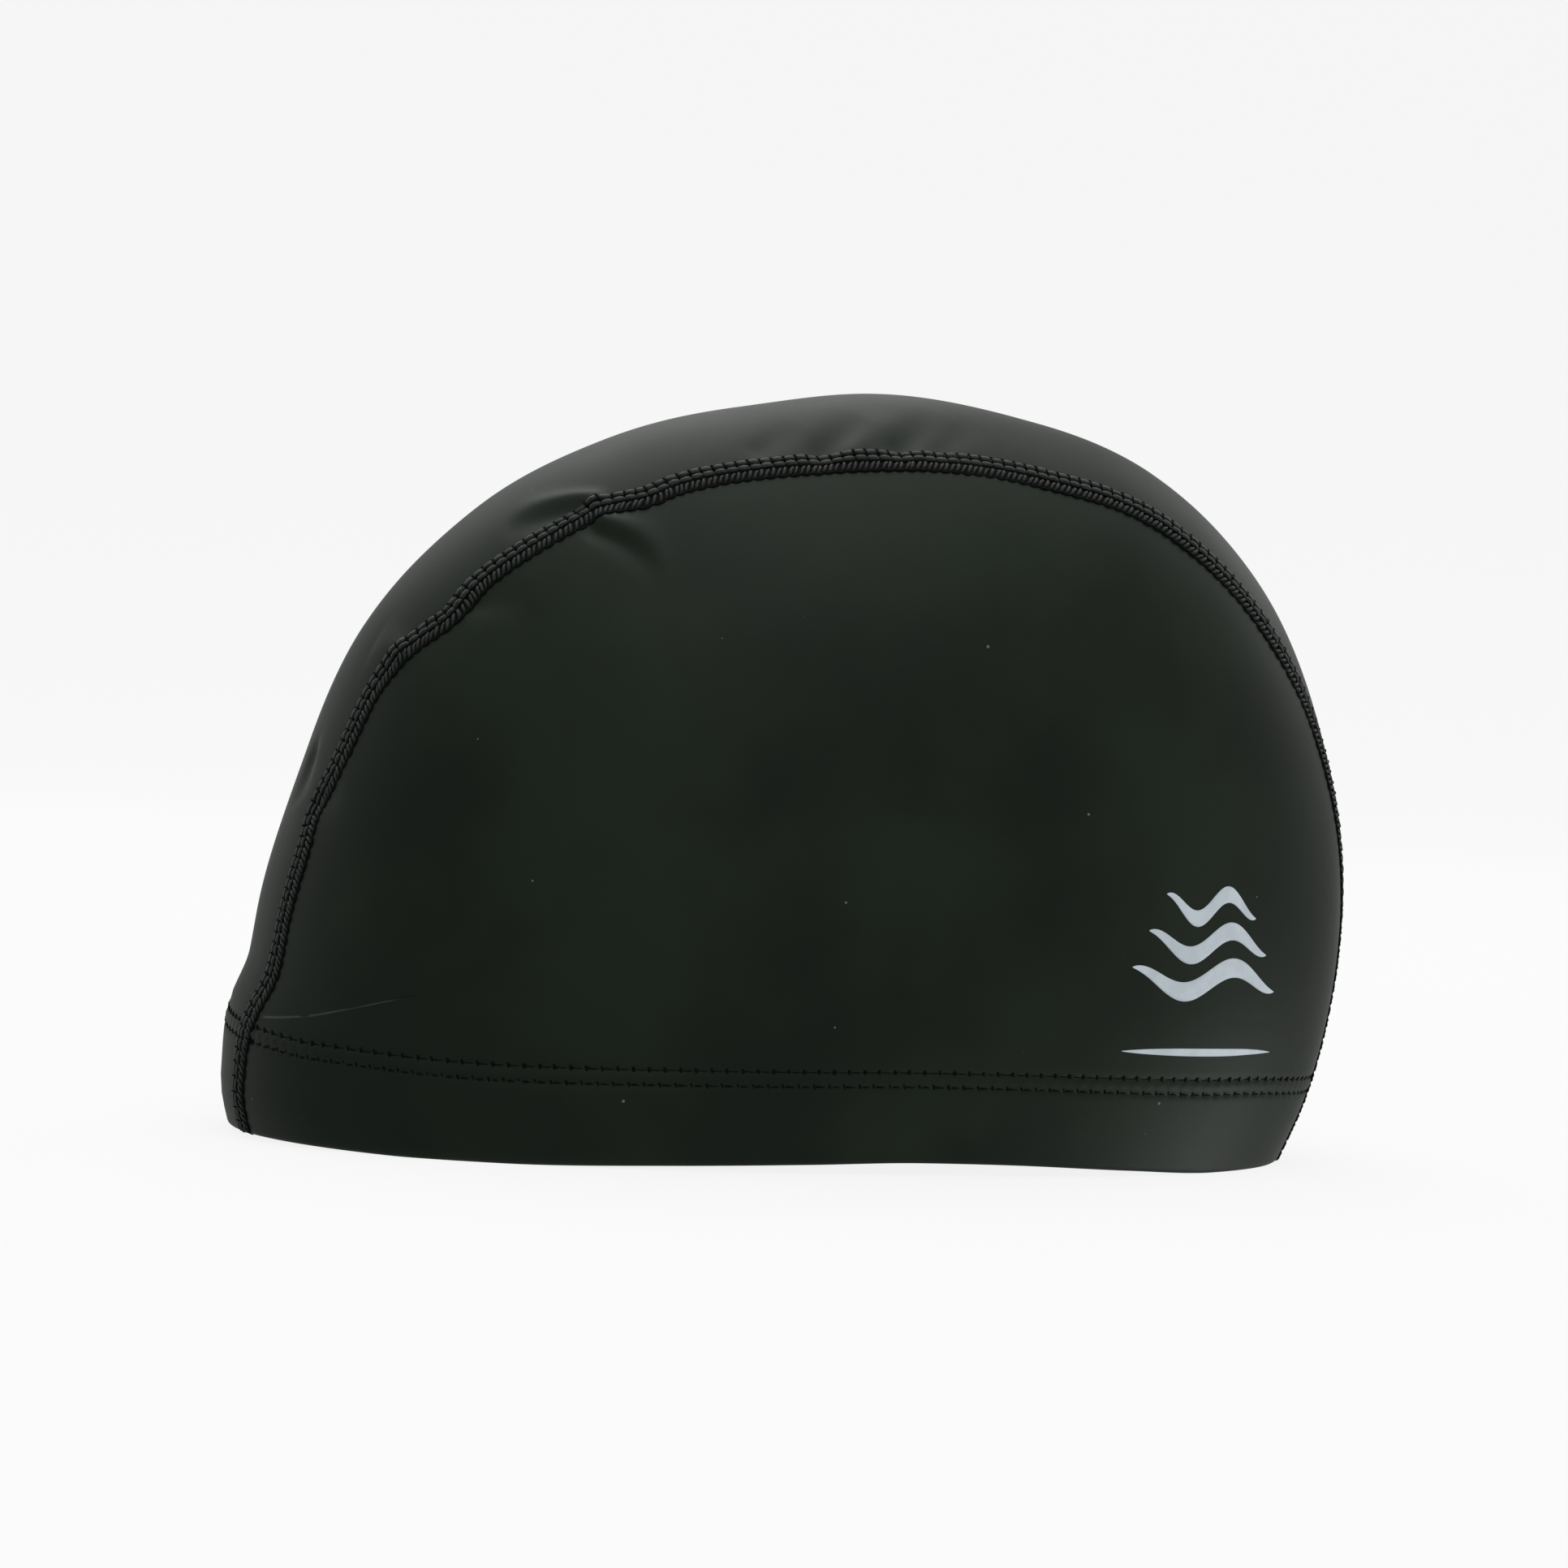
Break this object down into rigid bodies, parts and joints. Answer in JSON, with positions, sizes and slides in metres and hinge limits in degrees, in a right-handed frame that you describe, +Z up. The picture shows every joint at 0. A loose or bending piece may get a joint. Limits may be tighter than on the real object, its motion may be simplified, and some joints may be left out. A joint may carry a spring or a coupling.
{
  "type": "swim cap",
  "caption": "Close-fitting swim cap of dark coated stretch cloth: side and centre panels joined by raised flatlock seams, with a stitched turned-up hem.",
  "frame": {"origin": "on the surface that the rim rests on, under the middle of the cap", "axes": "+X towards the back of the head, -Y towards the wearer's left, +Z up out of the crown"},
  "size_m": [0.2209, 0.1358, 0.1472],
  "materials": {
    "side_cloth": "satin, smooth coated stretch cloth, near-black with a green tint",
    "centre_cloth": "satin, smooth coated stretch cloth, near-black",
    "seam_thread": "matt black stitching thread"
  },
  "bodies": {
    "root": {"left_side_panel": "side_cloth", "right_side_panel": "side_cloth", "centre_panel": "centre_cloth", "left_seam": "seam_thread", "right_seam": "seam_thread"}
  },
  "joints": []
}
